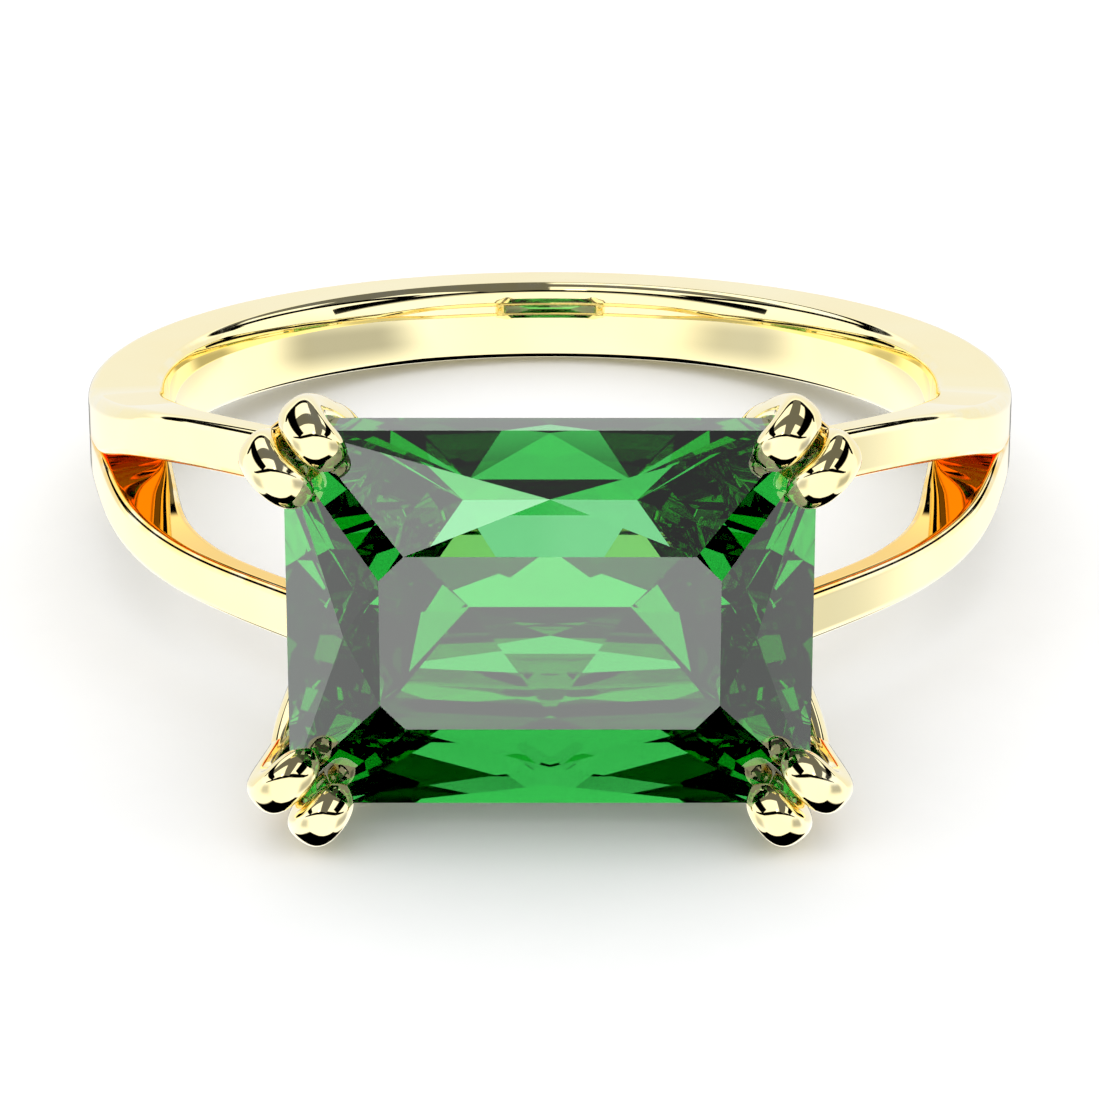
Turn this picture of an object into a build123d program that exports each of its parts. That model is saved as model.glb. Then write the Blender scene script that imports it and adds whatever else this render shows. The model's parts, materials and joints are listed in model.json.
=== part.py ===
from build123d import *
from math import atan2, cos, degrees, radians, sin
import os

# A cocktail ring with a large rectangular green crystal set across the finger.
# Millimetres. The ring is drawn in its own axes first: Z is the finger's axis, the origin is
# the centre of the finger hole, -Y points out through the crystal and X runs along its length.
# A "level" is a distance from the finger's axis out towards the crystal's table, along -Y.
# At the end the whole ring is laid down as it rests on a table, on two claws and its band.

# ---------------------------------------------------------------- band
finger_radius = 8.65             # inside radius of the band, for a 17.3 mm finger hole
band_thickness_back = 1.62       # metal behind the finger
band_thickness_side = 1.80       # metal beside the finger
band_height = 1.94               # along the finger
outer_edge_radius = 0.25         # rounding of the band's outer edges
comfort_edge_radius = 0.30       # rounding of the band's inner edges
hoop_end_angle = 8.0             # the plain hoop runs this far past each side, degrees

# ---------------------------------------------------------------- head's base rail
finger_clearance = 1.23          # between the finger hole and the rail
rail_radius = 0.42
rail_end_inset = 1.00            # rail's centre line in from the crystal's end
rail_side_inset = 2.125          # rail's centre line in from the crystal's long edge
rail_corner_radius = 0.504

# ---------------------------------------------------------------- crystal
crystal_length = 10.0            # along X
crystal_width = 7.45             # along Z
crystal_clearance = 0.38         # between the middle of the rail and the crystal's keel
girdle_height = 0.90             # the crystal's straight side
girdle_corner = 0.35             # 45 degree cut at each corner of the outline
crown_height = 1.43
crown_end_run = 1.82             # from the girdle in to the table, at the ends
crown_side_run = 2.03            # the same, at the long sides
table_corner = 0.47              # 45 degree cut at each corner of the table
crown_bulge = 0.15               # how far the crown's ridges stand out of a flat bevel
end_ridge_share = 0.62           # where the ridge lies between girdle and table, at the ends
side_ridge_share = 0.53          # the same, at the long sides
pavilion_depth = 3.42            # below the girdle, down to the keel line
break_depth = 0.37               # the steep first band below the girdle
break_inset = 0.14
side_belly_inset = 1.725         # where the long sides bulge most, in from the long edge
side_belly_height = 1.50         # the same place, above the keel
end_belly_inset = 1.20           # the same for the ends
end_belly_height = 1.90
keel_end_inset = 3.45            # the keel's ends in from the crystal's ends

# ---------------------------------------------------------------- claws and stems
claw_radius = 0.36               # round wire of a claw
claw_bend_radius = 0.42          # of its centre line, where it turns in over the crown
claw_standoff = 0.50             # claw's centre line outside the crystal's edge
claw_reach = 0.76                # how far a claw leans in over the crown
claw_crest = 0.66                # claw's centre line above the girdle's top edge
long_claw_setback = 0.32         # from the crystal's corner, for a claw on a long edge
short_claw_setback = 0.45        # the same, for a claw on a short edge
long_claw_out = (0.10, 1.00)     # which way a claw stands off the crystal: shares of X and Z
short_claw_out = (1.00, 0.10)
long_claw_in = (-0.58, -0.82)    # which way it leans in over the crown
short_claw_in = (-0.77, -0.64)
fork_drop = 0.40                 # the two claws of a corner part this far below the girdle
fork_pitch = 1.13                # between their roots, across the corner
fork_end_inset = 0.20            # middle of the fork, in from the crystal's end
fork_side_inset = 0.26           # the same, in from its long edge
stem_turn = 27.0                 # a stem's width is turned this far from X, degrees
stem_radius = 0.40               # half the thickness of a corner's stem
foot_pitch = 0.50                # a stem's width at its foot, less its thickness

# ---------------------------------------------------------------- shoulder bars
bar_height = 1.06                # along the finger
bar_thickness = 0.68             # at the head
bar_edge_radius = 0.20
bar_edge_inset = 0.02            # keeps a bar's end just inside the hoop's rounded section
bar_end_offset = 0.41            # a bar's middle passes this far outside the stem's foot
bar_side_offset = 0.09           # its middle passes this far outside the rail's centre line
bar_heading_at_head = 45.0       # in plan, from straight forward, degrees

crystal_half_length = crystal_length / 2
crystal_half_width = crystal_width / 2
table_half_length = crystal_half_length - crown_end_run
table_half_width = crystal_half_width - crown_side_run
keel_half_length = crystal_half_length - keel_end_inset
rail_half_length = crystal_half_length - rail_end_inset
rail_half_width = crystal_half_width - rail_side_inset
rail_level = finger_radius + finger_clearance + rail_radius
keel_level = rail_level + crystal_clearance
girdle_bottom_level = keel_level + pavilion_depth
girdle_top_level = girdle_bottom_level + girdle_height
table_level = girdle_top_level + crown_height
fork_level = girdle_bottom_level - fork_drop
bar_spread = rail_half_width + bar_side_offset + bar_height / 2 + bar_edge_inset - band_height / 2


def level_point(x, level, z):
    """A point at a level above the finger's axis, in the ring's own axes."""
    return Vector(x, -level, z)


def hoop():
    """The plain part of the band: a round bore in a slightly offset round outside."""
    outer_radius = finger_radius + band_thickness_side
    outer_shift = band_thickness_side - band_thickness_back
    reach = 2 * outer_radius
    fall = reach * sin(radians(hoop_end_angle)) / cos(radians(hoop_end_angle))
    front = Polygon((0, 0), (reach, -fall), (reach, -reach), (-reach, -reach), (-reach, -fall),
                    align=None)
    profile = Pos(0, -outer_shift) * Circle(outer_radius) - Circle(finger_radius) - front
    band = extrude(profile, amount=band_height / 2, both=True)

    def rim(radius):
        """The band's circular edges of one radius, on its two flat sides."""
        return [edge for edge in band.edges().filter_by(GeomType.CIRCLE)
                if abs(abs(edge.center().Z) - band_height / 2) < 0.001
                and abs(edge.radius - radius) < 0.001]

    band = fillet(rim(outer_radius), outer_edge_radius)
    return fillet(rim(finger_radius), comfort_edge_radius)


def bar_station(x, level, heading, thickness, z_low, z_high):
    """One rounded section of a shoulder bar, square to its heading in plan."""
    along = Vector(-sin(radians(heading)), -cos(radians(heading)), 0)
    across = Vector(cos(radians(heading)), -sin(radians(heading)), 0)
    place = Plane(origin=level_point(x, level, (z_low + z_high) / 2), x_dir=across, z_dir=along)
    radius = min(bar_edge_radius, 0.45 * thickness, 0.45 * (z_high - z_low))
    return place * RectangleRounded(thickness, z_high - z_low, radius)


def shoulder_bar():
    """The upper bar on the +X side, from the hoop's end to the corner stem of the head."""
    start_radius = finger_radius + band_thickness_side
    start_x = start_radius * cos(radians(hoop_end_angle))
    start_level = start_radius * sin(radians(hoop_end_angle))
    lean = radians(bar_heading_at_head)
    end = stem_foot()
    run_x = start_x - end.X - bar_end_offset - bar_thickness / 2 * cos(lean)
    run_level = -end.Y + bar_thickness / 2 * sin(lean) - start_level
    half = band_height / 2
    thick = band_thickness_side - 2 * bar_edge_inset
    taper = thick - bar_thickness
    # shares of the way in, forward and outwards, then the heading and the share of the taper
    # left; the first two sections reach the middle plane, where the pair still touches
    shape = [(0.000, 0.000, 0.00, hoop_end_angle, 1.00, True),
             (0.065, 0.200, 0.17, 15, 0.85, True),
             (0.182, 0.420, 0.46, 25, 0.66, False),
             (0.282, 0.530, 0.61, 37, 0.43, False),
             (0.545, 0.727, 0.84, bar_heading_at_head, 0.04, False),
             (0.851, 0.913, 0.97, bar_heading_at_head, 0.00, False),
             (1.000, 1.000, 1.00, bar_heading_at_head, 0.00, False)]
    stations = []
    for inward, forward, spread, heading, left, joined in shape:
        thickness = bar_thickness + left * taper
        z_high = half + spread * bar_spread - bar_edge_inset
        z_low = bar_edge_inset if joined else z_high - bar_height
        x = start_x - inward * run_x - thickness / 2 * cos(radians(heading))
        level = start_level + forward * run_level - thickness / 2 * sin(radians(heading))
        stations.append(bar_station(x, level, heading, thickness, z_low, z_high))
    return split(loft(stations), bisect_by=Plane.XY, keep=Keep.TOP)


def stem_foot():
    """Where a corner's stem stands on the base rail, at +X and +Z."""
    return level_point(rail_half_length, rail_level, rail_half_width)


def claw_line(side):
    """Corners of a claw's centre line at the +X +Z corner: side 0 is on the long edge."""
    if side == 0:
        edge_x, edge_z = crystal_half_length - long_claw_setback, crystal_half_width
        out_x, out_z, in_x, in_z = long_claw_out + long_claw_in
    else:
        edge_x, edge_z = crystal_half_length, crystal_half_width - short_claw_setback
        out_x, out_z, in_x, in_z = short_claw_out + short_claw_in
    crest_level = girdle_top_level + claw_crest
    bend_x = edge_x + claw_standoff * out_x
    bend_z = edge_z + claw_standoff * out_z
    return [
        fork_end(side),
        level_point(bend_x, crest_level, bend_z),
        level_point(bend_x + claw_reach * in_x, crest_level, bend_z + claw_reach * in_z),
    ]


def fork_end(side):
    """Where a claw's centre line leaves the end of its corner's stem."""
    across = radians(stem_turn)
    sign = -1 if side == 0 else 1
    return level_point(
        crystal_half_length - fork_end_inset + sign * fork_pitch / 2 * cos(across), fork_level,
        crystal_half_width - fork_side_inset - sign * fork_pitch / 2 * sin(across))


def claw(side):
    """A round claw from the fork, up past the girdle and in over the crown."""
    root, bend, tip = claw_line(side)
    line = FilletPolyline(root, bend, tip, radius=claw_bend_radius)
    wire = sweep(Plane(origin=root, z_dir=line % 0) * Circle(claw_radius), path=line)
    return wire + Pos(tip) * Sphere(claw_radius)


def corner_stem():
    """The flat tapering stem of the +X +Z corner, from the base rail to the fork."""
    ends = [fork_end(0), fork_end(1)]
    fork_middle = (ends[0] + ends[1]) / 2
    foot = Plane(origin=stem_foot(), x_dir=(1, 0, 0), z_dir=(0, -1, 0))
    fork = Plane(origin=fork_middle, x_dir=(1, 0, 0), z_dir=(0, -1, 0))
    return loft([foot * Rot(Z=-stem_turn) * SlotCenterToCenter(foot_pitch, 2 * stem_radius),
                 fork * Rot(Z=-stem_turn) * SlotCenterToCenter(fork_pitch, 2 * claw_radius)])


def crystal():
    """The rectangular crystal, cut facet by facet from a block."""
    depth = crown_height + girdle_height + pavilion_depth
    middle = level_point(0, table_level - depth / 2, 0)
    stone = Pos(middle) * Box(crystal_length, depth, crystal_width)
    centre = level_point(0, girdle_top_level, 0)

    def cut(block, corners):
        """Cut along the plane through three points, and keep the side with the centre."""
        a, b, c = corners
        face = Plane(origin=a, x_dir=b - a, z_dir=(b - a).cross(c - a))
        keep = Keep.TOP if (centre - a).dot(face.z_dir) > 0 else Keep.BOTTOM
        return split(block, bisect_by=face, keep=keep)

    x, z = crystal_half_length, crystal_half_width
    chamfer = girdle_corner
    tx, tz = table_half_length, table_half_width
    ridge_z = z - side_ridge_share * crown_side_run
    ridge_x = x - end_ridge_share * crown_end_run
    ridge_z_level = girdle_top_level + side_ridge_share * crown_height + crown_bulge
    ridge_x_level = girdle_top_level + end_ridge_share * crown_height + crown_bulge
    lip_level = girdle_bottom_level - break_depth
    lip_x, lip_z = x - break_inset, z - break_inset
    for sx in (1, -1):
        for sz in (1, -1):
            def at(px, level, pz):
                return level_point(sx * px, level, sz * pz)
            side_z = at(0, ridge_z_level, ridge_z)
            side_x = at(ridge_x, ridge_x_level, 0)
            long_corner = at(x - chamfer, girdle_top_level, z)
            short_corner = at(x, girdle_top_level, z - chamfer)
            table_long = at(tx - table_corner, table_level, tz)
            table_short = at(tx, table_level, tz - table_corner)
            long_lip = at(x - chamfer, lip_level, lip_z)
            short_lip = at(lip_x, lip_level, z - chamfer)
            keel_end = at(keel_half_length, keel_level, 0)
            side_belly = at(0, keel_level + side_belly_height, z - side_belly_inset)
            end_belly = at(x - end_belly_inset, keel_level + end_belly_height, 0)
            facets = [
                (long_corner, short_corner, at(x, girdle_bottom_level, z - chamfer)),
                (long_corner, at(-(x - chamfer), girdle_top_level, z), side_z),
                (short_corner, at(x, girdle_top_level, -(z - chamfer)), side_x),
                (table_long, at(-(tx - table_corner), table_level, tz), side_z),
                (table_short, at(tx, table_level, -(tz - table_corner)), side_x),
                (long_corner, side_z, table_long),
                (short_corner, side_x, table_short),
                (long_corner, short_corner, table_long),
                (at(0, girdle_bottom_level, z), at(1, girdle_bottom_level, z), long_lip),
                (at(x, girdle_bottom_level, 0), at(x, girdle_bottom_level, 1), short_lip),
                (long_lip, at(0, lip_level, lip_z), side_belly),
                (short_lip, at(lip_x, lip_level, 0), end_belly),
                (keel_end, at(0, keel_level, 0), side_belly),
                (long_lip, side_belly, keel_end),
                (short_lip, end_belly, keel_end),
                (long_lip, short_lip, keel_end),
            ]
            for corners in facets:
                stone = cut(stone, corners)
    return stone


def base_rail():
    """The rectangular rail nearest the finger, that the four corner stems stand on."""
    x, z = rail_half_length, rail_half_width
    outline = FilletPolyline((-x, -z), (x, -z), (x, z), (-x, z), radius=rail_corner_radius,
                             close=True)
    path = Plane(origin=level_point(0, rail_level, 0), x_dir=(1, 0, 0), z_dir=(0, 1, 0)) * outline
    section = Plane(origin=path @ 0, z_dir=path % 0) * Circle(rail_radius)
    return sweep(section, path=path, is_frenet=False)


def mirrored(shape, right, top):
    """A piece drawn at the +X +Z corner, carried to any of the four corners."""
    if not right:
        shape = mirror(shape, about=Plane.YZ)
    if not top:
        shape = mirror(shape, about=Plane.XY)
    return shape


def lay_down(pieces):
    """The placement that rests the ring on its two lower long-edge claws and its band."""
    claw = pieces["claw_long_bottom_right"]
    band = pieces["shank_hoop"]
    tilt = 0.0
    for _ in range(8):
        claw_low = (Rot(X=-tilt) * claw).bounding_box().min
        band_low = (Rot(X=-tilt) * band).bounding_box()
        span = band_low.max.Y - claw_low.Y
        tilt += degrees(atan2(band_low.min.Z - claw_low.Z, span))
    laid = Compound([Rot(X=-tilt) * piece for piece in pieces.values()]).bounding_box()
    middle = laid.center()
    return Pos(-middle.X, -middle.Y, -laid.min.Z) * Rot(X=-tilt), tilt


stone = crystal()
bar = shoulder_bar()
rail = base_rail()
claws = [claw(side) - stone for side in (0, 1)]
stem = corner_stem() - stone - rail - bar - claws[0] - claws[1]
bar = bar - rail

pieces = {"shank_hoop": hoop(), "base_rail": rail, "crystal": stone}
for right, side_name in ((True, "right"), (False, "left")):
    for top, level_name in ((True, "top"), (False, "bottom")):
        corner_name = f"{level_name}_{side_name}"
        pieces[f"shoulder_bar_{corner_name}"] = mirrored(bar, right, top)
        pieces[f"corner_stem_{corner_name}"] = mirrored(stem, right, top)
        pieces[f"claw_long_{corner_name}"] = mirrored(claws[0], right, top)
        pieces[f"claw_short_{corner_name}"] = mirrored(claws[1], right, top)

resting_place, resting_tilt = lay_down(pieces)
os.makedirs("parts", exist_ok=True)
for name, piece in pieces.items():
    export_step(resting_place * piece, f"parts/{name}.step")

finger_centre = resting_place * Pos(0, 0, 0)
print("resting tilt", round(resting_tilt, 3))
print("finger hole centre", finger_centre.position)
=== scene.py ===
# %% [markdown]
# # A cocktail ring with a rectangular green crystal
#
# The ring is a polished gold-tone frame with one large crystal held by eight claws. The packed
# model gives every size and place. This lesson puts smooth, finished surfaces around it: a band
# that parts into four bars, a small rail, four stems, eight claws and the cut crystal.

# %% Load the frame
import itertools
import json
import math
import bpy
import mathutils
import numpy as np
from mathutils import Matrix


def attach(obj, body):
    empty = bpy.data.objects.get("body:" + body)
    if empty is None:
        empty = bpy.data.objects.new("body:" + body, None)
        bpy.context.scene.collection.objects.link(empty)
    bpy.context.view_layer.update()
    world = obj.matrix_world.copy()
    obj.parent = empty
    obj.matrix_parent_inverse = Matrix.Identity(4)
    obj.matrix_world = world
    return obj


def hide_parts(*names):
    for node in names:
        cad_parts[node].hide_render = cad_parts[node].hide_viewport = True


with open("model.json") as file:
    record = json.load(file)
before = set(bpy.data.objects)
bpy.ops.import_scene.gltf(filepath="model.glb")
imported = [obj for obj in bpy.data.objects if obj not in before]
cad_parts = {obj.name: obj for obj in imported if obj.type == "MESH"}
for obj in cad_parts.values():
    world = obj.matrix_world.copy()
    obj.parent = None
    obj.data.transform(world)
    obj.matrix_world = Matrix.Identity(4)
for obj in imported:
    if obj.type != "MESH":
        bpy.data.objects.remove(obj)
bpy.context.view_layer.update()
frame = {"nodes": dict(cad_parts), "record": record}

# %% [markdown]
# ## The ring's own axes
#
# The ring lies tilted on the table, so its parts would be awkward to draw in the table's axes.
# It is simpler to draw them in the ring's own axes, in millimetres: Z along the finger, X along
# the crystal, and -Y out through the crystal. One small matrix, taken from the finger hole's
# stated place and axis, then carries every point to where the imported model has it.

# %% Axes from the finger hole
finger_hole = next(m for m in frame["record"]["mounts"] if m["name"] == "finger_hole")
finger_axis = np.array(finger_hole["axis"])
finger_centre = np.array(finger_hole["pos_m"])
finger_radius = finger_hole["dims"]["r_mm"]
ring_right = np.array([1.0, 0.0, 0.0])
ring_axes = np.array([ring_right, np.cross(finger_axis, ring_right), finger_axis])


def to_table(points):
    """Ring millimetres to metres on the table: turn by the ring's axes, then shift."""
    return finger_centre + np.asarray(points, float) / 1000 @ ring_axes


def ring_box(node):
    """Lowest and highest corner of a CAD node in the ring's axes, in millimetres."""
    mesh = frame["nodes"][node].data
    flat = np.empty(len(mesh.vertices) * 3)
    mesh.vertices.foreach_get("co", flat)
    points = (flat.reshape(-1, 3) - finger_centre) @ ring_axes.T * 1000
    return points.min(axis=0), points.max(axis=0)


_, hoop_high = ring_box("shank_hoop")
stone_low, stone_high = ring_box("crystal")
rail_low, rail_high = ring_box("base_rail")
print("finger hole radius", finger_radius, "mm, hoop outside", np.round(hoop_high, 2).tolist())
print("crystal in ring axes", np.round(stone_low, 2).tolist(), np.round(stone_high, 2).tolist())

# %% [markdown]
# ## Surfaces from grids
#
# Every metal piece here is a section carried along a path, so its surface is a grid of points:
# one row per station, one column per point of the section. The helper below turns such a grid
# into a closed mesh. It closes the grid around, caps its two ends, and turns the faces outwards
# by the sign of the enclosed volume.

# %% Grid helper
SHARP_ANGLE = math.radians(38)


def mesh_piece(name, points, faces, smooth=True):
    """A mesh object at the origin from ring points and faces, with smooth or flat shading."""
    mesh = bpy.data.meshes.new(name)
    mesh.from_pydata(to_table(points).tolist(), [], faces)
    mesh.validate()
    if smooth:
        mesh.shade_smooth()
        mesh.set_sharp_from_angle(angle=SHARP_ANGLE)
    piece = bpy.data.objects.new(name, mesh)
    bpy.context.scene.collection.objects.link(piece)
    return piece


def grid_faces(rows, columns, closed_ends):
    """Quads between neighbouring rows of a grid that wraps around its columns."""
    row = np.arange(rows if closed_ends else rows - 1)[:, None]
    column = np.arange(columns)[None, :]
    next_row, next_column = (row + 1) % rows, (column + 1) % columns
    return np.stack([row * columns + column, row * columns + next_column,
                     next_row * columns + next_column, next_row * columns + column],
                    axis=-1).reshape(-1, 4)


def swept_piece(name, grid, closed_ends=False):
    """A grid of rows x columns x 3 as a closed mesh: wrapped around, capped at both ends.

    The triple products of every triangle's corners add up to six times the enclosed volume, and
    a negative sum means that the faces point inwards.
    """
    rows, columns, _ = grid.shape
    points = grid.reshape(-1, 3)
    quads = grid_faces(rows, columns, closed_ends)
    first, last = np.arange(columns), (rows - 1) * columns + np.arange(columns)
    corners = points[quads]
    products = np.einsum("ij,ij->", np.cross(corners[:, 0], corners[:, 1]), corners[:, 2])
    products += np.einsum("ij,ij->", np.cross(corners[:, 0], corners[:, 2]), corners[:, 3])
    faces = quads.tolist()
    if not closed_ends:
        for ring in (first[::-1], last):
            fan = np.cross(points[ring[1:-1]], points[ring[2:]])
            products += np.einsum("j,ij->", points[ring[0]], fan)
            faces.append(ring.tolist())
    if products < 0:
        faces = [face[::-1] for face in faces]
    print(f"{name}: {rows} x {columns} grid, {abs(products) / 6:.2f} cubic mm")
    return mesh_piece(name, points, faces)


def smooth_through(knots, values, where):
    """A natural cubic spline through values at the knots, read at the places in where."""
    knots, values = np.asarray(knots, float), np.asarray(values, float)
    values = values.reshape(len(knots), -1)
    step = np.diff(knots)[:, None]
    slope = np.diff(values, axis=0) / step
    system = np.eye(len(knots))
    inner = np.arange(1, len(knots) - 1)
    system[inner, inner - 1] = step[:-1, 0]
    system[inner, inner] = 2 * (step[:-1, 0] + step[1:, 0])
    system[inner, inner + 1] = step[1:, 0]
    bends = np.zeros_like(values)
    bends[inner] = 3 * (slope[1:] - slope[:-1])
    bends = np.linalg.solve(system, bends)
    cell = np.clip(np.searchsorted(knots, where, side="right") - 1, 0, len(knots) - 2)
    t = (np.asarray(where) - knots[cell])[:, None]
    h = step[cell]
    lean = slope[cell] - h * (2 * bends[cell] + bends[cell + 1]) / 3
    cubic = (bends[cell + 1] - bends[cell]) / (3 * h)
    return values[cell] + t * (lean + t * (bends[cell] + t * cubic))


# %% [markdown]
# ## Gold-tone plate
#
# Costume gold is a mirror-bright plate over brass. Its colour comes from the metal's tinted
# reflection, so the shader is fully metallic with almost no roughness. A real ring is never a
# perfect mirror: the polishing wheel leaves faint waves, the plate is a little warmer in some
# places, and handling leaves hairlines. Noise in Object coordinates gives all of these at
# millimetre scale, so they stay fixed to the metal. Along its edges the plate is rubbed paler and
# duller in short runs. In narrow places light goes from face to face and comes out deep orange.
# The renderer gives part of that, and a deeper tone painted there gives the rest. Two marks on a
# piece's own points, "recess" and "edge", say where those places are.

# %% Gold material
MM = 0.001


def node_of(tree, kind, **settings):
    """A new shader node with its sockets set by name."""
    node = tree.nodes.new(kind)
    for key, value in settings.items():
        node.inputs[key].default_value = value
    return node


def noise_at(tree, coordinates, size_mm, detail, stretch=(1, 1, 1)):
    """Noise whose features are about size_mm across, stretched along the axes."""
    scale = tree.nodes.new("ShaderNodeMapping")
    scale.inputs["Scale"].default_value = [factor / (size_mm * MM) for factor in stretch]
    noise = node_of(tree, "ShaderNodeTexNoise", Scale=1.0, Detail=detail, Roughness=0.55)
    tree.links.new(coordinates, scale.inputs["Vector"])
    tree.links.new(scale.outputs["Vector"], noise.inputs["Vector"])
    return noise.outputs["Fac"]


def ramp_of(tree, factor, stops):
    """A colour ramp over factor, with (place, colour) stops."""
    ramp = tree.nodes.new("ShaderNodeValToRGB")
    elements = ramp.color_ramp.elements
    while len(elements) < len(stops):
        elements.new(0.5)
    for element, (place, colour) in zip(elements, stops):
        element.position = place
        element.color = (*colour, 1)
    tree.links.new(factor, ramp.inputs["Fac"])
    return ramp.outputs["Color"]


def math_node(tree, operation, first, second):
    """A Math node on two sockets or numbers."""
    node = tree.nodes.new("ShaderNodeMath")
    node.operation = operation
    for socket, value in zip(node.inputs, (first, second)):
        if isinstance(value, (int, float)):
            socket.default_value = value
        else:
            tree.links.new(value, socket)
    return node.outputs["Value"]


def mark_of(tree, name):
    """The number from 0 to 1 that a piece's own points carry under a name, or 0."""
    mark = tree.nodes.new("ShaderNodeAttribute")
    mark.attribute_name = name
    return mark.outputs["Fac"]


def tinted(tree, colour, amount, tint):
    """A colour socket turned towards a fixed tint by an amount socket."""
    mix = tree.nodes.new("ShaderNodeMix")
    mix.data_type = "RGBA"
    mix.inputs["B"].default_value = (*tint, 1)
    tree.links.new(amount, mix.inputs["Factor"])
    tree.links.new(colour, mix.inputs["A"])
    return mix.outputs["Result"]


def new_material(name):
    """An empty node material with a Principled shader, and its tree and shader."""
    material = bpy.data.materials.new(name)
    material.use_nodes = True
    return material, material.node_tree, material.node_tree.nodes["Principled BSDF"]


GOLD_PALE = (1.0, 0.900, 0.535)
GOLD_WARM = (1.0, 0.872, 0.465)
GOLD_RECESS = (1.0, 0.66, 0.16)
GOLD_WORN = (0.98, 0.91, 0.64)
CLEAN_ROUGHNESS, HAIRLINE_ROUGHNESS, WORN_ROUGHNESS = 0.018, 0.05, 0.14
WAVE_STRENGTH = 0.06
WAVE_DEPTH = 0.02 * MM


def gold_plate():
    """Mirror-polished pale gold: tinted metal with faint waves, hairlines and worn edges."""
    material, tree, shader = new_material("gold_tone_plate")
    place = tree.nodes.new("ShaderNodeTexCoord").outputs["Object"]
    tone = noise_at(tree, place, size_mm=4.0, detail=2.0)
    colour = ramp_of(tree, tone, [(0.35, GOLD_WARM), (0.65, GOLD_PALE)])
    colour = tinted(tree, colour, mark_of(tree, "recess"), GOLD_RECESS)
    runs = noise_at(tree, place, size_mm=0.7, detail=3.0)
    rubbed = ramp_of(tree, runs, [(0.42, (0,) * 3), (0.66, (1,) * 3)])
    worn = math_node(tree, "MULTIPLY", mark_of(tree, "edge"), rubbed)
    colour = tinted(tree, colour, worn, GOLD_WORN)
    hairlines = noise_at(tree, place, size_mm=0.12, detail=3.0, stretch=(1, 0.12, 1))
    haze = ramp_of(tree, hairlines, [(0.45, (CLEAN_ROUGHNESS,) * 3),
                                     (0.75, (HAIRLINE_ROUGHNESS,) * 3)])
    haze = tinted(tree, haze, worn, (WORN_ROUGHNESS,) * 3)
    waves = noise_at(tree, place, size_mm=1.6, detail=1.0)
    bump = node_of(tree, "ShaderNodeBump", Strength=WAVE_STRENGTH, Distance=WAVE_DEPTH)
    tree.links.new(waves, bump.inputs["Height"])
    tree.links.new(colour, shader.inputs["Base Color"])
    tree.links.new(haze, shader.inputs["Roughness"])
    tree.links.new(bump.outputs["Normal"], shader.inputs["Normal"])
    shader.inputs["Metallic"].default_value = 1.0
    return material


gold = gold_plate()


def mark_points(piece, name, amounts):
    """A named number from 0 to 1 on each point of a piece, such as its recess or edge mark."""
    piece.data.attributes.new(name, "FLOAT", "POINT")
    piece.data.attributes[name].data.foreach_set("value", np.ravel(amounts).astype(np.float32))


def finish_metal(piece, *nodes):
    """Gold finish, riding on the ring, in place of the CAD nodes it stands for."""
    piece.data.materials.append(gold)
    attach(piece, "root")
    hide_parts(*nodes)


# %% [markdown]
# ## The band's section
#
# The band is a rounded rectangle. Its inside is domed a little, the way comfortable rings are
# made, and its edges are small rounds that catch thin lines of reflection. The same section
# serves the plain hoop and, cut in half, the start of each bar, so hoop and bars meet exactly.

# %% Rounded section
CORNER_STEPS = 8
FLAT_STEPS = np.array([0.03, 0.25, 0.5, 0.75, 0.97])
HALF_HEIGHT = hoop_high[2]
COMFORT_DOME = 0.16


def rounded_sections(thickness, z_low, z_high, radii):
    """Rounded rectangles, one per station: offsets inward from the outer face, and heights.

    Four quarter circles, one per corner, joined by straight flats with points near their ends.
    Corners run outer top, inner top, inner bottom, outer bottom.
    """
    thickness, z_low, z_high = (np.asarray(v, float)[:, None] for v in (thickness, z_low, z_high))
    radii = [np.asarray(r, float)[:, None] for r in radii]
    turn = np.linspace(0, np.pi / 2, CORNER_STEPS)[None, :]
    corner_depth = [radii[0], thickness - radii[1], thickness - radii[2], radii[3]]
    corner_height = [z_high - radii[0], z_high - radii[1], z_low + radii[2], z_low + radii[3]]
    start = [np.pi, np.pi / 2, 0, -np.pi / 2]
    depth, height = [], []
    for corner in range(4):
        angle = start[corner] - turn
        depth.append(corner_depth[corner] + radii[corner] * np.cos(angle))
        height.append(corner_height[corner] + radii[corner] * np.sin(angle))
    columns_depth, columns_height = [], []
    for corner in range(4):
        following = (corner + 1) % 4
        columns_depth.append(depth[corner])
        columns_height.append(height[corner])
        for share in FLAT_STEPS:
            columns_depth.append(depth[corner][:, -1:] * (1 - share)
                                 + depth[following][:, :1] * share)
            columns_height.append(height[corner][:, -1:] * (1 - share)
                                  + height[following][:, :1] * share)
    return np.hstack(columns_depth), np.hstack(columns_height)


def section_edges(stations):
    """The edge mark of such sections: a half wave over each corner's round, 0 on the flats."""
    corner = np.sin(np.linspace(0, np.pi, CORNER_STEPS))
    return np.tile(np.r_[corner, np.zeros(len(FLAT_STEPS))], 4 * stations)


def placed_sections(outer, inward, depth, height, thickness, dome):
    """Sections set square to a plan line: outer point plus depth along the inward direction.

    The inner face is lifted outwards by dome times the square of its share of the half height,
    and the lift fades to nothing at the outer face.
    """
    share_in = depth / np.asarray(thickness)[:, None]
    lift = np.asarray(dome)[:, None] * (height / HALF_HEIGHT) ** 2 * share_in
    plan = outer[:, None, :] + inward[:, None, :] * (depth - lift)[..., None]
    return np.concatenate([plan, height[..., None]], axis=-1)


# %% [markdown]
# ## The hoop
#
# Behind and beside the finger the band is one plain hoop. The finger hole is round. The outside
# is a slightly larger circle moved a little towards the crystal, so that the band is thinner at
# the back, where the hand closes, than at its sides.

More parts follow.
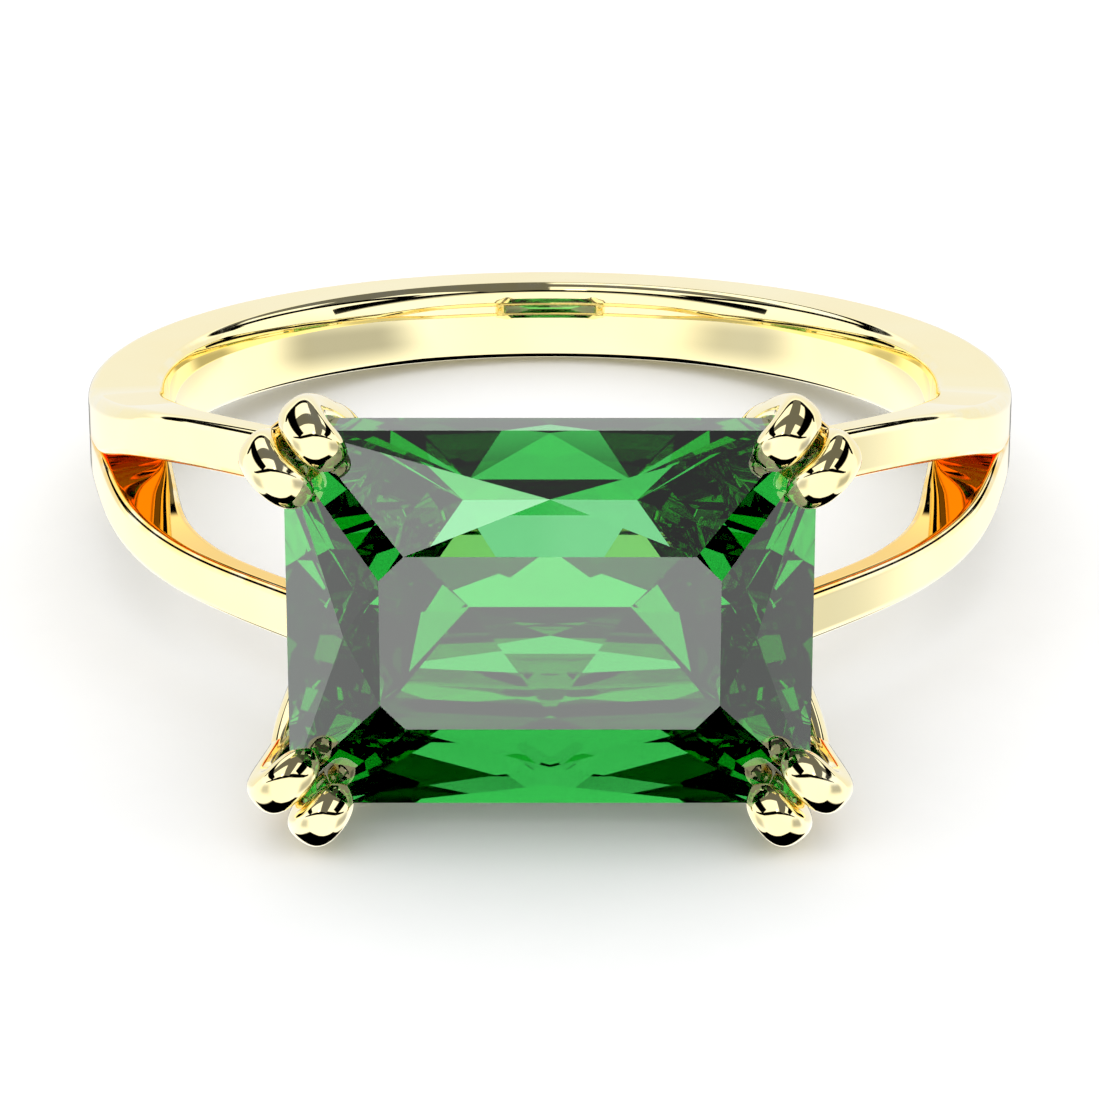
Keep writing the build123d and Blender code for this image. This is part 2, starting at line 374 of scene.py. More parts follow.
# %% Hoop
OUTER_EDGE = 0.25
INNER_EDGE = 0.16
HOOP_END = math.radians(8.0)
outer_radius = hoop_high[0]
outer_shift = outer_radius - hoop_high[1]


def hoop_outline(angle):
    """Outer points and inward directions of the hoop at plan angles, and its thickness.

    The outer circle is shifted forward by outer_shift, so a ray from the finger's axis meets it
    at s = -k sin a + sqrt(R^2 - k^2 cos^2 a), with k the shift.
    """
    ray = np.stack([np.cos(angle), np.sin(angle)], axis=-1)
    reach = -outer_shift * np.sin(angle) + np.sqrt(outer_radius**2
                                                   - (outer_shift * np.cos(angle)) ** 2)
    return ray * reach[:, None], -ray, reach - finger_radius


HOOP_STATIONS = 241
hoop_angle = np.linspace(-HOOP_END, np.pi + HOOP_END, HOOP_STATIONS)
hoop_outer, hoop_inward, hoop_thickness = hoop_outline(hoop_angle)
even = np.ones(HOOP_STATIONS)
hoop_depth, hoop_height = rounded_sections(
    hoop_thickness, -HALF_HEIGHT * even, HALF_HEIGHT * even,
    [OUTER_EDGE * even, INNER_EDGE * even, INNER_EDGE * even, OUTER_EDGE * even])
hoop_grid = placed_sections(hoop_outer, hoop_inward, hoop_depth, hoop_height, hoop_thickness,
                            COMFORT_DOME * even)
hoop = swept_piece("hoop", hoop_grid)
mark_points(hoop, "edge", section_edges(HOOP_STATIONS))
finish_metal(hoop, "shank_hoop")

# %% [markdown]
# ## Four shoulder bars
#
# At each side the band parts into an upper and a lower bar. They stay joined for a few
# millimetres with only a groove between them, then open into a long V and run straight to the
# head. One bar is drawn as a line of stations through a smooth spline; the other three are its
# mirror images, with their faces turned back outwards by the grid helper.

# %% Bars
BAR_STATIONS = 120
BAR_END_ROUND = 0.34
END_LEAST = 0.02                       # share of full size left at an end, for its small cap


def rounded_end(distance, radius):
    """Share of full size near a rounded end: a quarter circle of the distance left."""
    left = 1 - np.clip(distance / radius, 0, 1)
    return END_LEAST + (1 - END_LEAST) * np.sqrt(1 - left**2)


LEAD_ANGLES = np.radians([6.0, 3.0])   # two stations back on the hoop steer the spline's start
CROWDING = 1.6                         # crowds the stations towards the head
TURN_LENGTH = 1.5                      # mm over which a section turns from the hoop's direction
PARTING_LENGTH = 4.0                   # mm over which two joined bars become two separate ones
BAR_INNER_EDGE = 0.20
RECESS_TOP, RECESS_FADE = 0.184, 0.16  # shares of a bar's height with the recess tone
start_outer, start_inward, start_thickness = hoop_outline(np.array([-HOOP_END]))
start_x, start_level = start_outer[0, 0], -start_outer[0, 1]
# across, level, thickness, low height, high height, outer edge, lower outer edge
bar_table = np.array([
    [start_x, start_level, start_thickness[0], 0.00, HALF_HEIGHT, OUTER_EDGE, 0.00],
    [9.99, 3.30, 1.62, 0.00, 1.20, OUTER_EDGE, 0.12],
    [9.32, 5.30, 1.40, 0.46, 1.56, OUTER_EDGE, 0.20],
    [8.72, 6.35, 1.13, 0.70, 1.76, 0.22, 0.20],
    [7.27, 8.10, 0.76, 0.96, 2.02, 0.20, 0.20],
    [5.50, 9.82, 0.70, 1.08, 2.17, 0.20, 0.20],
    [4.50, 10.78, 0.70, 1.14, 2.23, 0.20, 0.20]])


def shoulder_bar(right, top):
    """The bar's sections along a spline through its table, mirrored to one of four places.

    The direction in which a section goes inwards turns from the hoop's to square to the bar, by
    the smooth step 3 t^2 - 2 t^3 of the share t of the turn length.
    """
    plan = bar_table[:, :2]
    along = np.r_[0, np.cumsum(np.linalg.norm(np.diff(plan, axis=0), axis=1))]
    lead_outer, _, lead_thickness = hoop_outline(-HOOP_END + LEAD_ANGLES)
    lead = np.tile(bar_table[0], (2, 1))
    lead[:, 0], lead[:, 1], lead[:, 2] = lead_outer[:, 0], -lead_outer[:, 1], lead_thickness
    lead_run = np.linalg.norm(lead[:, :2] - plan[0], axis=1)
    knots = np.r_[-lead_run, along]
    where = along[-1] * (1 - (1 - np.linspace(0, 1, BAR_STATIONS)) ** CROWDING)
    values = smooth_through(knots, np.vstack([lead, bar_table]), where)
    outer = values[:, :2] * [1, -1]
    thickness, z_low, z_high, outer_edge, low_edge = values[:, 2:].T
    z_low, low_edge = np.maximum(z_low, 0), np.maximum(low_edge, 0)

    heading = np.gradient(outer, where, axis=0)
    heading /= np.linalg.norm(heading, axis=1)[:, None]
    inward = np.stack([heading[:, 1], -heading[:, 0]], axis=-1)
    inward *= np.sign((inward * -outer).sum(axis=1))[:, None]
    blend = np.clip(where / TURN_LENGTH, 0, 1)[:, None]
    blend = blend * blend * (3 - 2 * blend)
    inward = inward * blend + start_inward * (1 - blend)
    inward /= np.linalg.norm(inward, axis=1)[:, None]

    parted = np.clip(where / PARTING_LENGTH, 0, 1)
    depth, height = rounded_sections(
        thickness, z_low, z_high,
        [outer_edge, np.full(BAR_STATIONS, INNER_EDGE), BAR_INNER_EDGE * parted, low_edge])
    grid = placed_sections(outer, inward, depth, height, thickness,
                           COMFORT_DOME * (1 - parted) ** 2)
    middle = grid.mean(axis=1, keepdims=True)
    round_off = rounded_end(along[-1] - where, BAR_END_ROUND)[:, None, None]
    grid = (middle + (grid - middle) * round_off) * [1 if right else -1, 1, 1 if top else -1]
    name = f"shoulder_bar_{'top' if top else 'bottom'}_{'right' if right else 'left'}"
    bar = swept_piece(name + "_metal", grid)
    share_up = (height - z_low[:, None]) / (z_high - z_low)[:, None]
    mark_points(bar, "recess", np.clip((RECESS_TOP - share_up) / RECESS_FADE, 0, 1))
    mark_points(bar, "edge", section_edges(BAR_STATIONS))
    finish_metal(bar, name)


corners = [(right, top) for right in (True, False) for top in (True, False)]
for right, top in corners:
    shoulder_bar(right, top)

# %% [markdown]
# ## The head's base rail
#
# Under the crystal's point a small rectangular rail ties the four corners together. It is a round
# wire bent into a frame, so a circle carried around a rounded rectangle is all it needs.

# %% Base rail
RAIL_CORNER = 0.55
RAIL_AROUND = 28
rail_wire = (rail_high[1] - rail_low[1]) / 2
rail_half_x = rail_high[0] - rail_wire
rail_half_z = rail_high[2] - rail_wire
rail_level = -(rail_high[1] + rail_low[1]) / 2


def rounded_rectangle(half_x, half_z, corner, steps=12):
    """Points around a rounded rectangle in the XZ plane: four quarter circles, and flats."""
    turn = np.linspace(0, np.pi / 2, steps)
    centres = np.array([[1, 1], [-1, 1], [-1, -1], [1, -1]]) * [half_x - corner, half_z - corner]
    angle = turn[None, :] + (np.arange(4) * np.pi / 2)[:, None]
    arcs = centres[:, None, :] + corner * np.stack([np.cos(angle), np.sin(angle)], axis=-1)
    return arcs.reshape(-1, 2)


def rail_grid():
    """A round wire around the rail's outline: radius along the outline's normal and along Y."""
    outline = rounded_rectangle(rail_half_x, rail_half_z, RAIL_CORNER)
    ahead = np.roll(outline, -1, axis=0) - np.roll(outline, 1, axis=0)
    ahead /= np.linalg.norm(ahead, axis=1)[:, None]
    normal = np.stack([ahead[:, 1], -ahead[:, 0]], axis=-1)
    turn = np.linspace(0, 2 * np.pi, RAIL_AROUND, endpoint=False)
    out = rail_wire * np.cos(turn)[None, :, None] * normal[:, None, :]
    flat = outline[:, None, :] + out
    level = np.broadcast_to(-rail_level + rail_wire * np.sin(turn)[None, :], flat.shape[:2])
    return np.stack([flat[..., 0], level, flat[..., 1]], axis=-1)


finish_metal(swept_piece("rail", rail_grid(), closed_ends=True), "base_rail")

# %% [markdown]
# ## Claws
#
# At each corner one flat stem rises from the rail and forks into two claws. A claw climbs past
# the crystal's edge, bends over it and ends in a blunt beak on the crown. It could be a bent
# wire, but a filed claw swells where it bends and narrows to its tip. So the beak is a tube on a
# spline, and its squarish oval section changes along the way.

# %% Claws
stone_half_x, stone_half_z = stone_high[0], stone_high[2]
table_level = -stone_low[1]
CROWN = 1.43
girdle_level = table_level - CROWN
GIRDLE = 0.90
CLAW_STATIONS = 60
CLAW_AROUND = 36
CLAW_TIP_ROUND = 0.30
CLAW_SQUARENESS = 2.5


def oval_tube(line, normal, half_wide, half_deep, squareness):
    """A tube of super-ellipse sections along a line.

    Each section is |a|^n + |b|^n = 1 with n the squareness, scaled by the half width along the
    side direction and the half depth along the normal.
    """
    ahead = np.gradient(line, axis=0)
    ahead /= np.linalg.norm(ahead, axis=1)[:, None]
    side = np.cross(ahead, normal)
    side /= np.linalg.norm(side, axis=1)[:, None]
    deep = np.cross(side, ahead)
    turn = np.linspace(0, 2 * np.pi, CLAW_AROUND, endpoint=False)
    power = 2 / squareness
    a = np.sign(np.cos(turn)) * np.abs(np.cos(turn)) ** power
    b = np.sign(np.sin(turn)) * np.abs(np.sin(turn)) ** power
    return (line[:, None, :] + side[:, None, :] * (half_wide[:, None] * a)[..., None]
            + deep[:, None, :] * (half_deep[:, None] * b)[..., None])


def oval_edges(stations):
    """The edge mark of such sections: greatest on the four rounds between the flatter sides."""
    turn = np.linspace(0, 2 * np.pi, CLAW_AROUND, endpoint=False)
    return np.tile(np.sin(2 * turn) ** 4, stations)


# one claw on a long edge and one on a short edge, at the +X +Z corner, as places relative to
# the crystal's corner: across, level above the girdle's top edge, along the finger
claw_tables = {
    "long": np.array([[-0.95, -1.90, -0.45], [-0.60, -1.00, 0.05], [-0.40, -0.20, 0.27],
                      [-0.40, 0.42, 0.29], [-0.62, 0.78, 0.05], [-0.90, 0.62, -0.28],
                      [-1.10, 0.36, -0.52]]),
    "short": np.array([[-0.10, -1.90, -0.85], [0.18, -1.00, -0.58], [0.36, -0.20, -0.42],
                       [0.38, 0.42, -0.40], [0.12, 0.78, -0.64], [-0.26, 0.62, -0.99],
                       [-0.50, 0.36, -1.22]])}
claw_leans = {"long": [-0.62, 0.0, -0.78], "short": [-0.78, 0.0, -0.62]}   # in over the crown
claw_half_wide = [0.34, 0.35, 0.40, 0.43, 0.43, 0.38, 0.16]
claw_half_deep = [0.31, 0.31, 0.34, 0.36, 0.35, 0.29, 0.13]


def claw_grid(kind, right, top):
    """An oval tube on a spline through the claw's table, with a rounded tip."""
    table = claw_tables[kind]
    knots = np.r_[0, np.cumsum(np.linalg.norm(np.diff(table, axis=0), axis=1))]
    where = np.linspace(0, knots[-1], CLAW_STATIONS)
    values = smooth_through(knots, np.column_stack([table, claw_half_wide, claw_half_deep]), where)
    line = np.stack([stone_half_x + values[:, 0], -(girdle_level + values[:, 1]),
                     stone_half_z + values[:, 2]], axis=-1)
    shrink = rounded_end(knots[-1] - where, CLAW_TIP_ROUND)
    across = np.cross(claw_leans[kind], [0.0, 1.0, 0.0])
    normal = np.cross(across[None, :], np.gradient(line, axis=0))
    grid = oval_tube(line, normal, values[:, 3] * shrink, values[:, 4] * shrink, CLAW_SQUARENESS)
    return grid * [1 if right else -1, 1, 1 if top else -1]


for right, top in corners:
    corner_name = f"{'top' if top else 'bottom'}_{'right' if right else 'left'}"
    for kind in ("long", "short"):
        beak = swept_piece(f"claw_{kind}_{corner_name}_beak", claw_grid(kind, right, top))
        mark_points(beak, "edge", oval_edges(CLAW_STATIONS))
        finish_metal(beak, f"claw_{kind}_{corner_name}")

# %% [markdown]
# ## Stems
#
# A stem is cast as a leaf: narrow and thick at the rail, broad and thin where its two claws leave
# it. It could be cut from a flat sheet, but then the claws would meet it in a corner. The same
# oval tube as the claws', with its width and thickness on splines of their own, flows into them.
# Its last stretch is a low saddle in the narrow place between the claws, so it takes the recess
# tone.

# %% Stems
STEM_STATIONS = 40
STEM_SQUARENESS = 3.0
STEM_END_ROUND = 0.06
FORK_SHARE = 0.78                      # how far up its stem the fork lies
FOOT_HALF_WIDE, FORK_EXTRA_WIDE, SADDLE_HALF_WIDE = 0.62, 0.28, 0.46
STEM_HALF_DEEP = [0.40, 0.28, 0.14]    # at the foot, the fork and the saddle
SADDLE_OFFSET = [0.0, 0.30, 0.06]      # from the crystal's corner: across, down and outwards
STEM_RECESS_FROM, STEM_RECESS_FADE = 0.70, 0.15


def stem_grid(right, top):
    """A flat oval from the rail's corner, widening to the fork and thinning to a saddle.

    Its middle line is a spline through the rail's corner, the middle of the fork and a place
    just outside the crystal's corner and below the girdle's top edge.
    """
    foot = np.array([rail_half_x, -rail_level, rail_half_z])
    corner = np.array([stone_half_x, -girdle_level, stone_half_z])
    roots = [corner + claw_tables[kind][1] * [1, -1, 1] for kind in ("long", "short")]
    fork = (roots[0] + roots[1]) / 2
    share = np.linspace(0, 1, STEM_STATIONS)
    knots = [0, FORK_SHARE, 1]
    line = smooth_through(knots, np.array([foot, fork, corner + SADDLE_OFFSET]), share)
    across = roots[1] - roots[0]
    fork_half_wide = np.linalg.norm(across) / 2 + FORK_EXTRA_WIDE
    wide = smooth_through(knots, [FOOT_HALF_WIDE, fork_half_wide, SADDLE_HALF_WIDE], share)[:, 0]
    deep = smooth_through(knots, STEM_HALF_DEEP, share)[:, 0]
    shrink = rounded_end(1 - share, STEM_END_ROUND)
    normal = np.broadcast_to(np.cross(across, fork - foot), line.shape)
    grid = oval_tube(line, normal, wide * shrink, deep * shrink, STEM_SQUARENESS)
    recess = np.clip((share - STEM_RECESS_FROM) / STEM_RECESS_FADE, 0, 1)
    return grid * [1 if right else -1, 1, 1 if top else -1], recess


for right, top in corners:
    corner_name = f"{'top' if top else 'bottom'}_{'right' if right else 'left'}"
    stem, recess = stem_grid(right, top)
    leaf = swept_piece(f"corner_stem_{corner_name}_leaf", stem)
    mark_points(leaf, "recess", np.repeat(recess, CLAW_AROUND))
    mark_points(leaf, "edge", oval_edges(STEM_STATIONS))
    finish_metal(leaf, f"corner_stem_{corner_name}")

# %% [markdown]
# ## The crystal
#
# A cut stone is a block with flat facets ground onto it. So the crystal here is worked out the
# same way, as the space inside a set of planes. Every corner of such a solid is where three
# planes meet and no other plane cuts it away, which numpy can test for all triples at once.

# %% Crystal shape
TABLE_HALF_X, TABLE_HALF_Z = 3.18, 1.695
TABLE_CUT, CORNER_CUT = 0.47, 0.35               # cut off the corners of the table and girdle
APEX_LONG, APEX_SHORT = 0.53, 0.62               # where a side's crown facets meet, as a share
CROWN_BULGE = 0.15                               # how far they stand above a straight slope
LIP_DROP, LIP_IN = 0.37, 0.14                    # the steep first band below the girdle
BELLY_LONG_UP, BELLY_LONG_OUT = 1.50, 2.00       # where the lower facets meet: above the keel,
BELLY_SHORT_UP, BELLY_SHORT_OUT = 1.90, 3.80     # and out from it
KEEL_HALF = 1.55
DECIMALS = 5                                     # to which equal planes or corners agree


def facet_planes():
    """Planes through three points each, for a quarter of the stone, mirrored to the other three.

    A point is given as across, level and along the finger.
    """
    x, z = stone_half_x, stone_half_z
    tx, tz, cut, chamfer = TABLE_HALF_X, TABLE_HALF_Z, TABLE_CUT, CORNER_CUT
    top, bottom = girdle_level, girdle_level - GIRDLE
    apex_z = (0, top + APEX_LONG * CROWN + CROWN_BULGE, z - APEX_LONG * (z - tz))
    apex_x = (x - APEX_SHORT * (x - tx), top + APEX_SHORT * CROWN + CROWN_BULGE, 0)
    keel_level, lip = -stone_high[1], bottom - LIP_DROP
    keel_end = (KEEL_HALF, keel_level, 0)
    lip_z, lip_x = (x - chamfer, lip, z - LIP_IN), (x - LIP_IN, lip, z - chamfer)
    belly_z = (0, keel_level + BELLY_LONG_UP, BELLY_LONG_OUT)
    belly_x = (BELLY_SHORT_OUT, keel_level + BELLY_SHORT_UP, 0)
    facets = [
        # the girdle's sides, the table and the girdle's corner
        ((x, top, 0), (x, bottom, 0), (x, top, 1)),
        ((0, top, z), (0, bottom, z), (1, top, z)),
        ((0, table_level, 0), (1, table_level, 0), (0, table_level, 1)),
        ((x - chamfer, top, z), (x, top, z - chamfer), (x, bottom, z - chamfer)),
        # the crown, from the girdle up to the table
        ((x - chamfer, top, z), (-(x - chamfer), top, z), apex_z),
        ((x, top, z - chamfer), (x, top, -(z - chamfer)), apex_x),
        ((tx - cut, table_level, tz), (-(tx - cut), table_level, tz), apex_z),
        ((tx, table_level, tz - cut), (tx, table_level, -(tz - cut)), apex_x),
        ((x - chamfer, top, z), apex_z, (tx - cut, table_level, tz)),
        ((x, top, z - chamfer), apex_x, (tx, table_level, tz - cut)),
        ((x - chamfer, top, z), (x, top, z - chamfer), (tx - cut, table_level, tz)),
        # the steep first band, and the pavilion down to the keel
        ((0, bottom, z), (1, bottom, z), lip_z),
        ((x, bottom, 0), (x, bottom, 1), lip_x),
        (lip_z, (0, lip, z - LIP_IN), belly_z),
        (lip_x, (x - LIP_IN, lip, 0), belly_x),
        (keel_end, (0, keel_level, 0), belly_z),
        (lip_z, belly_z, keel_end),
        (lip_x, belly_x, keel_end),
        (lip_z, lip_x, keel_end)]
    quarter = np.array(facets, float)
    sides = np.array([[sx, 1, sz] for sx in (1, -1) for sz in (1, -1)], float)
    points = (quarter[None] * sides[:, None, None, :]).reshape(-1, 3, 3)
    points[..., 1] *= -1
    normal = np.cross(points[:, 1] - points[:, 0], points[:, 2] - points[:, 0])
    normal /= np.linalg.norm(normal, axis=1)[:, None]
    centre = np.array([0, -(top + bottom) / 2, 0])
    away = np.einsum("ij,ij->i", normal, points[:, 0] - centre)
    normal *= np.sign(away)[:, None]
    offset = np.einsum("ij,ij->i", normal, points[:, 0])
    planes = np.round(np.column_stack([normal, offset]), DECIMALS)
    _, first = np.unique(planes, axis=0, return_index=True)
    return normal[first], offset[first]


PARALLEL, INSIDE, ON_FACE = 1e-5, 1e-6, 1e-4     # tolerances: a determinant, and two in mm


def cut_stone(normal, offset):
    """The solid inside all planes: corners where three planes meet, ordered around each face."""
    triple = np.array(list(itertools.combinations(range(len(normal)), 3)))
    matrix = normal[triple]
    good = np.abs(np.linalg.det(matrix)) > PARALLEL
    corner = np.linalg.solve(matrix[good], offset[triple[good]][..., None])[..., 0]
    inside = (corner @ normal.T <= offset + INSIDE).all(axis=1)
    corner = np.unique(np.round(corner[inside], DECIMALS), axis=0)
    faces = []
    for face_normal, face_offset in zip(normal, offset):
        on_face = np.where(np.abs(corner @ face_normal - face_offset) < ON_FACE)[0]
        if len(on_face) < 3:
            continue
        spoke = corner[on_face] - corner[on_face].mean(axis=0)
        first = spoke[0] / np.linalg.norm(spoke[0])
        second = np.cross(face_normal, first)
        order = np.argsort(np.arctan2(spoke @ second, spoke @ first))
        faces.append(on_face[order].tolist())
    print(f"crystal: {len(faces)} facets, {len(corner)} corners")
    return corner, faces


# %% [markdown]
# ## Crystal material
#
# The real crystal is clear all the way through and green in its depth, and that is what makes
# its facets differ: light that has travelled further comes out darker. A green surface would be
# flat. So the surface is colourless sharp glass with a high index, and the green comes from a
# volume that soaks up the other colours on the way. A very faint noise keeps it from being
# perfectly even, as in any grown crystal.

# %% Crystal material
CRYSTAL_INDEX = 2.5
SOAK_DENSITY = 260.0                   # per metre
SOAK_COLOUR = (0.02, 0.80, 0.25)


def green_crystal():
    """Deep green cut crystal: clear glass of high index that soaks up red and blue on the way."""
    material, tree, shader = new_material("green_crystal")
    tree.nodes.remove(shader)
    place = tree.nodes.new("ShaderNodeTexCoord").outputs["Object"]
    tone = noise_at(tree, place, size_mm=3.0, detail=2.0)
    tint = ramp_of(tree, tone, [(0.3, (0.93, 1.0, 0.95)), (0.7, (0.97, 1.0, 0.97))])
    glass = node_of(tree, "ShaderNodeBsdfGlass", Roughness=0.0, IOR=CRYSTAL_INDEX)
    tree.links.new(tint, glass.inputs["Color"])
    soak = node_of(tree, "ShaderNodeVolumeAbsorption", Density=SOAK_DENSITY,
                   Color=(*SOAK_COLOUR, 1))
    output = tree.nodes["Material Output"]
    tree.links.new(glass.outputs["BSDF"], output.inputs["Surface"])
    tree.links.new(soak.outputs["Volume"], output.inputs["Volume"])
    return material


stone_corners, stone_faces = cut_stone(*facet_planes())
crystal = mesh_piece("crystal_cut", stone_corners, stone_faces, smooth=False)
crystal.data.materials.append(green_crystal())
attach(crystal, "root")
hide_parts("crystal")

# %% [markdown]
# ## Table
#
# The ring lies on a plain pale board. Polished metal would mirror all of it, and so would the
# crystal, so the board is hidden from those rays and they see the tent below the horizon instead.

# %% Table
BOARD_HALF = 2.0                       # metres, so that its edges are out of sight


def table_surface():
    """Pale matt board with a very faint grain."""
    material, tree, shader = new_material("pale_board")
    place = tree.nodes.new("ShaderNodeTexCoord").outputs["Object"]
    grain = noise_at(tree, place, size_mm=2.0, detail=4.0)
    colour = ramp_of(tree, grain, [(0.2, (0.93,) * 3), (0.8, (0.95,) * 3)])
    tree.links.new(colour, shader.inputs["Base Color"])
    shader.inputs["Roughness"].default_value = 0.9
    shader.inputs["Specular IOR Level"].default_value = 0.1
    return material


table_mesh = bpy.data.meshes.new("table")
table_mesh.from_pydata([(BOARD_HALF * x, BOARD_HALF * y, 0)
                        for x, y in ((-1, -1), (1, -1), (1, 1), (-1, 1))], [], [(0, 1, 2, 3)])
table = bpy.data.objects.new("table", table_mesh)
bpy.context.scene.collection.objects.link(table)
table_mesh.materials.append(table_surface())
table.visible_glossy = False
table.visible_transmission = False

# %% [markdown]
# ## Light tent
#
# Jewellery is lit by large white panels so that the metal has something bright to mirror, and by
# a few dark ones that draw its edges. Real panels would have to stand around the ring and would
# show in some views. Here the world itself is that tent: each panel is a rectangle of directions,
# laid over a plain white. Light on the table comes from a plain white tent, so its shadow is
# soft. Rays that have passed through the crystal see a dark tent with two white panels, which
# gives its facets their contrast, and the crystal's own reflections see a taller dark front than
# the metal's do. No real studio can do that: it is a liberty, taken for the picture.

# %% Light tent
world = bpy.data.worlds.new("light_tent")
bpy.context.scene.world = world
world.use_nodes = True
tent = world.node_tree
direction = tent.nodes.new("ShaderNodeTexCoord").outputs["Generated"]


def along(axis):
    """How far the viewed direction points along an axis: their dot product."""
    node = tent.nodes.new("ShaderNodeVectorMath")
    node.operation = "DOT_PRODUCT"
    tent.links.new(direction, node.inputs[0])
    node.inputs[1].default_value = axis
    return node.outputs["Value"]


def soft_step(value, edge, softness):
    """1 below the edge, 0 above it, with a smooth change of the given width."""
    node = tent.nodes.new("ShaderNodeMapRange")
    node.interpolation_type = "SMOOTHSTEP"
    node.inputs["From Min"].default_value = edge - softness / 2
    node.inputs["From Max"].default_value = edge + softness / 2
    node.inputs["To Min"].default_value = 1
    node.inputs["To Max"].default_value = 0
    tent.links.new(value, node.inputs["Value"])
    return node.outputs["Result"]


FACING_LEAST = 0.001                   # keeps directions behind a panel from dividing by zero


def panel(colour_below, azimuth, elevation, half_wide, half_high, softness, brightness):
    """A rectangular panel hung in the tent, laid over what is below it.

    Angles are in degrees; azimuth 0 is the front of the table and 90 its right. The panel is a
    rectangle on the plane that faces the object, so its edges are straight lines there.
    """
    turn, rise = math.radians(azimuth), math.radians(elevation)
    ahead = np.array([math.sin(turn) * math.cos(rise), -math.cos(turn) * math.cos(rise),
                      math.sin(rise)])
    right = np.array([math.cos(turn), math.sin(turn), 0.0])
    above = np.cross(ahead, right)
    facing = math_node(tent, "MAXIMUM", along(ahead), FACING_LEAST)
    mask = None
    for axis, half in ((right, half_wide), (above, half_high)):
        reach = math_node(tent, "ABSOLUTE", math_node(tent, "DIVIDE", along(axis), facing), 0)
        inside = soft_step(reach, math.tan(math.radians(half)), softness)
        mask = inside if mask is None else math_node(tent, "MULTIPLY", mask, inside)
    node = tent.nodes.new("ShaderNodeMix")
    node.data_type = "RGBA"
    tent.links.new(mask, node.inputs["Factor"])
    tent.links.new(colour_below, node.inputs["A"])
    node.inputs["B"].default_value = (brightness, brightness, brightness, 1)
    return node.outputs["Result"]


# panels: azimuth, elevation, half width, half height, softness, brightness
METAL_FRONT = (0, 26, 70, 5, 0.04, 0.0)        # a narrow dark strip in front, for the metal
CRYSTAL_FRONT = (0, 33, 70, 20, 0.04, 0.0)     # a tall dark front, for the crystal's facets
surface_panels = [
    (0, 86, 60, 19, 0.04, 0.16),       # dim roof, overhead
    (90, 33, 40, 8, 0.04, 0.0),        # dark strips higher at the sides
    (-90, 33, 40, 8, 0.04, 0.0),
    (180, 33, 60, 6, 0.04, 0.0),       # dark strip at the back
    (0, -90, 36, 36, 0.08, 0.0),       # dark below, where the metal faces the table
    (180, -2, 60, 24, 0.30, 0.95),     # the back wall, a little dimmer
    (180, -24, 14, 6, 0.10, 0.15),     # dark strip low at the back, for the outline
    (90, 71.5, 60, 18.5, 0.02, 0.16),  # dim roof, to the right
    (-9, 34, 3.2, 4.5, 0.02, 2.5),     # small key light in front
    (68, -15, 22, 16, 0.40, 0.55),     # dim panels low at the sides
    (-62, -15, 16, 16, 0.40, 0.70),
]
inside_panels = [
    (0, -24, 60, 36, 0.04, 1.28),      # white front, below the camera
    (180, 35, 50, 55, 0.04, 1.28),     # white back
]


def plain_tent(brightness):
    """One plain brightness all round."""
    colour = tent.nodes.new("ShaderNodeRGB").outputs["Color"]
    colour.default_value = (brightness, brightness, brightness, 1)
    return colour


def hang(colour, panels):
    """Panels laid over a colour in turn."""
    for settings in panels:
        colour = panel(colour, *settings)
    return colour


def seen_by(ray, seen, otherwise):
    """One colour for a kind of ray, and another for all the rest."""
    choose = tent.nodes.new("ShaderNodeMix")
    choose.data_type = "RGBA"
    tent.links.new(ray, choose.inputs["Factor"])
    tent.links.new(otherwise, choose.inputs["A"])
    tent.links.new(seen, choose.inputs["B"])
    return choose.outputs["Result"]


TENT_WHITE, TABLE_WHITE = 1.30, 1.25   # brightness that reflections see, and that lights matt

light_path = tent.nodes.new("ShaderNodeLightPath").outputs
white = plain_tent(TENT_WHITE)
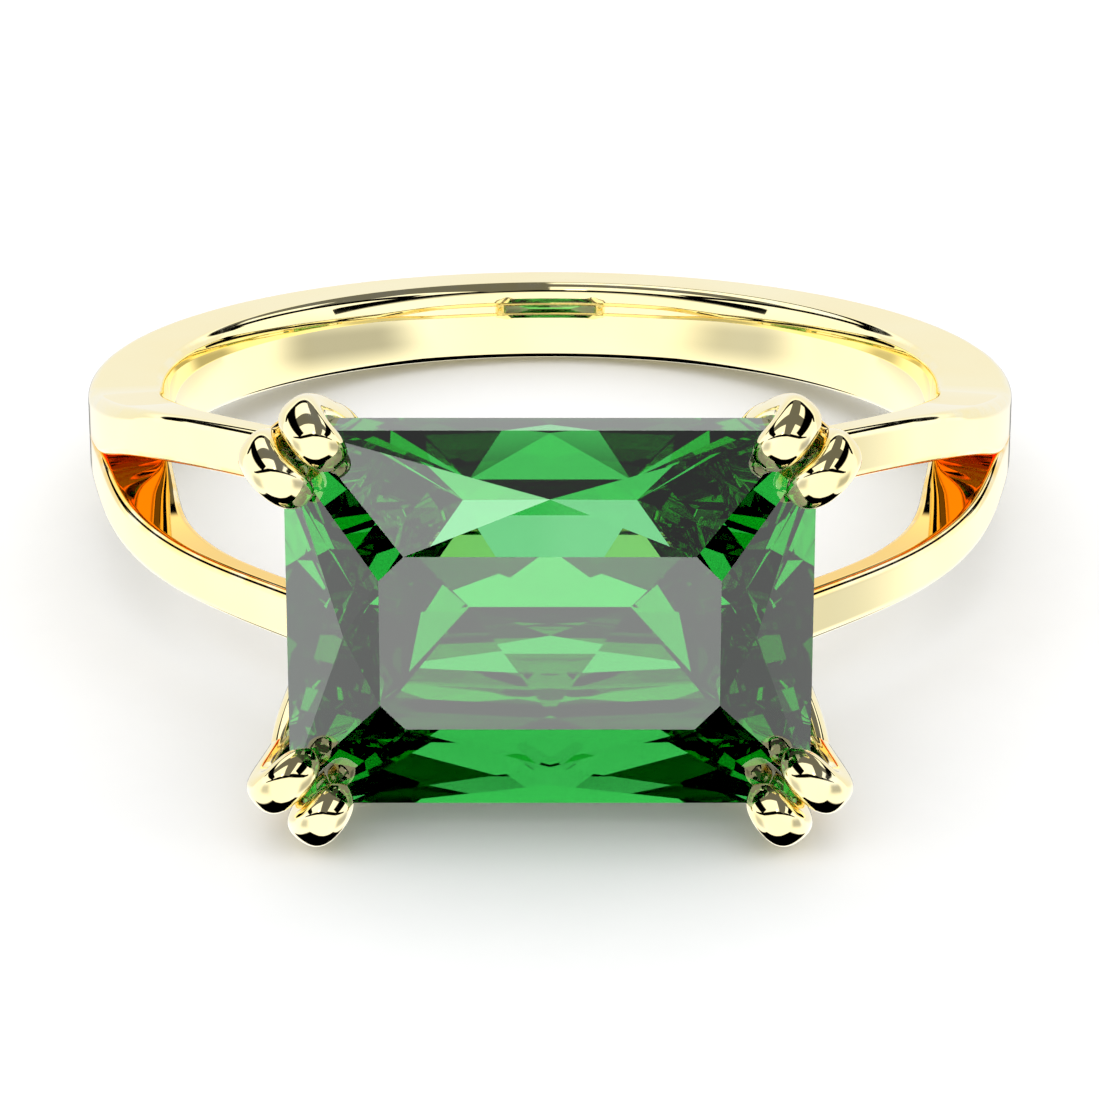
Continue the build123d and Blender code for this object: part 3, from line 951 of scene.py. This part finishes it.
# the crystal is perfectly sharp and the metal is not, so a "singular" ray left the crystal
front = seen_by(light_path["Is Singular Ray"], panel(white, *CRYSTAL_FRONT),
                panel(white, *METAL_FRONT))
tent_colour = seen_by(light_path["Is Transmission Ray"], hang(plain_tent(0.0), inside_panels),
                      hang(front, surface_panels))
tent_colour = seen_by(light_path["Is Diffuse Ray"], plain_tent(TABLE_WHITE), tent_colour)
tent.links.new(tent_colour, tent.nodes["Background"].inputs["Color"])
print(f"light tent: {len(surface_panels)} panels for surfaces, {len(inside_panels)} inside stones")

# %% [markdown]
# ## Camera
#
# A long lens from close above the band's plane shows the crystal large and the band foreshortened
# behind it. The camera is placed in the ring's own axes, because that is where its height above
# the band is easy to say, and its matrix is filled in directly from three directions.

# %% Camera
CAMERA_ELEVATION = math.radians(15.2)      # above the plane of the band
CAMERA_DISTANCE = 83.8                     # mm, from the centre of the finger hole
CAMERA_DROP = math.radians(2.155)          # the aim lies this far below the finger hole
FIELD_OF_VIEW = math.radians(17.110574)
SENSOR_WIDTH = 36                          # mm

view_back = np.array([0, -math.cos(CAMERA_ELEVATION), math.sin(CAMERA_ELEVATION)])
camera_place = to_table(view_back * CAMERA_DISTANCE)
aim = CAMERA_ELEVATION + CAMERA_DROP
look = np.array([0, math.cos(aim), -math.sin(aim)]) @ ring_axes
up = np.array([0, math.sin(aim), math.cos(aim)]) @ ring_axes
camera_data = bpy.data.cameras.new("camera")
camera_data.sensor_width = SENSOR_WIDTH
camera_data.lens = SENSOR_WIDTH / 2 / math.tan(FIELD_OF_VIEW / 2)
camera_data.clip_start = 0.001
camera_data.clip_end = 10
camera = bpy.data.objects.new("camera", camera_data)
bpy.context.scene.collection.objects.link(camera)
turned = np.eye(4)
turned[:3, 0], turned[:3, 1], turned[:3, 2] = ring_right, up, -look
turned[:3, 3] = camera_place
camera.matrix_world = mathutils.Matrix(turned.tolist())
bpy.context.scene.camera = camera
bpy.context.scene.view_settings.view_transform = "Standard"
bpy.context.scene.cycles.glossy_bounces = 12
bpy.context.scene.cycles.transmission_bounces = 16
bpy.context.scene.cycles.max_bounces = 20
print("camera at", np.round(camera_place * 1000, 1).tolist(), "mm")
